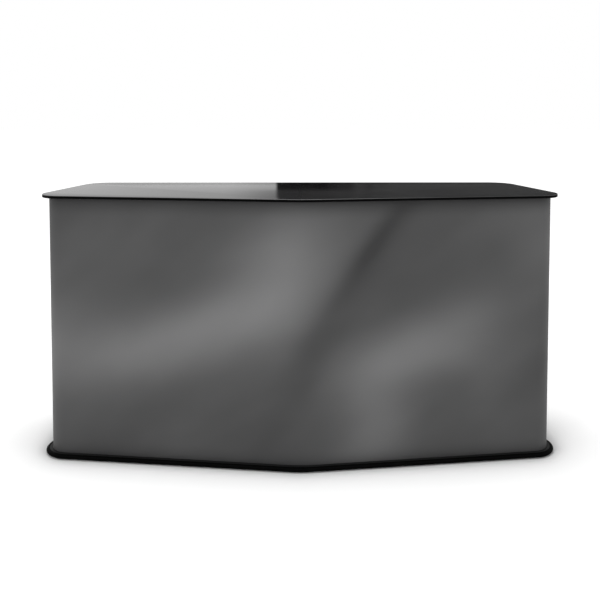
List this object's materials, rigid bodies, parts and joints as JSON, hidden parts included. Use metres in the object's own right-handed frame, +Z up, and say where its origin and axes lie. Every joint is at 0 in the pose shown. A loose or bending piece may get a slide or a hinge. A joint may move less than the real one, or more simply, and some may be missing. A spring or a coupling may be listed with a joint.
{
  "type": "folding portable bar",
  "caption": "Folding portable bar counter with a V-shaped printed front, black two-leaf top, black base and fold-up shelves on a hinged tube frame",
  "frame": {"origin": "on the floor, under the middle of the bar's outline", "axes": "+X to the guest's right along the counter, +Y from the guests to the barkeeper, +Z up"},
  "size_m": [2.1596, 0.66, 1.1],
  "materials": {
    "top_laminate": "glossy black compact laminate",
    "base_board": "black faced fibreboard",
    "bumper": "black bull-nosed edging",
    "printed_wrap": "satin printed flexible sheet in smoky greys",
    "frame_tube": "satin anodised tube",
    "black_fitting": "black powder coat",
    "bright_steel": "zinc-plated steel",
    "shelf_board": "black laminated board",
    "glide_rubber": "ribbed black rubber"
  },
  "bodies": {
    "base": {"base_board_left": "base_board", "base_board_right": "base_board", "spine_post": "frame_tube", "spine_foot": "black_fitting", "spine_cap": "black_fitting", "wrap_centre": "printed_wrap", "latch_pin": "bright_steel", "base_edge_right": "bumper", "glide_inner_right": "glide_rubber", "glide_corner_right": "glide_rubber", "glide_back_right": "glide_rubber", "spine_hinge_leaf_right": "bright_steel", "hinge_pin_right": "bright_steel", "base_edge_left": "bumper", "glide_inner_left": "glide_rubber", "glide_corner_left": "glide_rubber", "glide_back_left": "glide_rubber", "spine_hinge_leaf_left": "bright_steel", "hinge_pin_left": "bright_steel"},
    "latch": {"latch_hook": "bright_steel"},
    "right_front": {"front_hinge_leaf_right": "bright_steel", "inner_stile_right": "frame_tube", "outer_stile_right": "frame_tube", "top_rail_right": "frame_tube", "bottom_rail_right": "frame_tube", "shelf_beam_right": "frame_tube", "corner_post_right": "frame_tube", "corner_bracket_top_right": "black_fitting", "corner_bracket_bottom_right": "black_fitting", "wrap_front_right": "printed_wrap", "shelf_rod_right": "bright_steel"},
    "right_end": {"end_top_rail_right": "frame_tube", "end_bottom_rail_right": "frame_tube", "end_front_stile_right": "frame_tube", "end_back_stile_right": "frame_tube", "wrap_end_right": "printed_wrap"},
    "right_shelf": {"shelf_right": "shelf_board"},
    "right_bracket": {"shelf_bracket_right": "black_fitting"},
    "right_top": {"top_leaf_right": "top_laminate"},
    "left_front": {"front_hinge_leaf_left": "bright_steel", "inner_stile_left": "frame_tube", "outer_stile_left": "frame_tube", "top_rail_left": "frame_tube", "bottom_rail_left": "frame_tube", "shelf_beam_left": "frame_tube", "corner_post_left": "frame_tube", "corner_bracket_top_left": "black_fitting", "corner_bracket_bottom_left": "black_fitting", "wrap_front_left": "printed_wrap", "shelf_rod_left": "bright_steel"},
    "left_end": {"end_top_rail_left": "frame_tube", "end_bottom_rail_left": "frame_tube", "end_front_stile_left": "frame_tube", "end_back_stile_left": "frame_tube", "wrap_end_left": "printed_wrap"},
    "left_shelf": {"shelf_left": "shelf_board"},
    "left_bracket": {"shelf_bracket_left": "black_fitting"},
    "left_top": {"top_leaf_left": "top_laminate"}
  },
  "joints": [
    {"name": "front_fold_right", "type": "hinge", "parent": "base", "child": "right_front", "pos_m": [0.07499, -0.28915, 0.55], "axis": [0, 0, 1], "range_deg": [0, 82.5]},
    {"name": "end_fold_right", "type": "hinge", "parent": "right_front", "child": "right_end", "pos_m": [1.02041, -0.13596, 0.55], "axis": [0, 0, 1], "range_deg": [0, 84]},
    {"name": "shelf_fold_right", "type": "hinge", "parent": "right_front", "child": "right_shelf", "pos_m": [0.54263, -0.19631, 0.6075], "axis": [0.9921, 0.1253, 0], "range_deg": [0, 90]},
    {"name": "bracket_fold_right", "type": "hinge", "parent": "right_front", "child": "right_bracket", "pos_m": [0.54263, -0.19631, 0.54], "axis": [0, 0, -1], "range_deg": [0, 90]},
    {"name": "top_lift_right", "type": "slide", "parent": "base", "child": "right_top", "axis": [0, 0, 1], "range_m": [0, 0.12]},
    {"name": "front_fold_left", "type": "hinge", "parent": "base", "child": "left_front", "pos_m": [-0.07499, -0.28915, 0.55], "axis": [0, 0, -1], "range_deg": [0, 82.5]},
    {"name": "end_fold_left", "type": "hinge", "parent": "left_front", "child": "left_end", "pos_m": [-1.02041, -0.13596, 0.55], "axis": [0, 0, -1], "range_deg": [0, 84]},
    {"name": "shelf_fold_left", "type": "hinge", "parent": "left_front", "child": "left_shelf", "pos_m": [-0.54263, -0.19631, 0.6075], "axis": [0.9921, -0.1253, 0], "range_deg": [0, 90]},
    {"name": "bracket_fold_left", "type": "hinge", "parent": "left_front", "child": "left_bracket", "pos_m": [-0.54263, -0.19631, 0.54], "axis": [0, 0, 1], "range_deg": [0, 90]},
    {"name": "top_lift_left", "type": "slide", "parent": "base", "child": "left_top", "axis": [0, 0, 1], "range_m": [0, 0.12]},
    {"name": "latch_turn", "type": "hinge", "parent": "base", "child": "latch", "pos_m": [-0.04, 0.2, 0.015], "axis": [0, 0, 1], "range_deg": [0, 90]}
  ],
  "couplings": [
    {"joint": "end_fold_right", "follows": "front_fold_right", "ratio": 1.0133},
    {"joint": "shelf_fold_right", "follows": "front_fold_right", "ratio": 1.0905},
    {"joint": "bracket_fold_right", "follows": "front_fold_right", "ratio": 1.0905},
    {"joint": "front_fold_left", "follows": "front_fold_right", "ratio": 1},
    {"joint": "end_fold_left", "follows": "front_fold_right", "ratio": 1.0133},
    {"joint": "shelf_fold_left", "follows": "front_fold_right", "ratio": 1.0905},
    {"joint": "bracket_fold_left", "follows": "front_fold_right", "ratio": 1.0905}
  ]
}
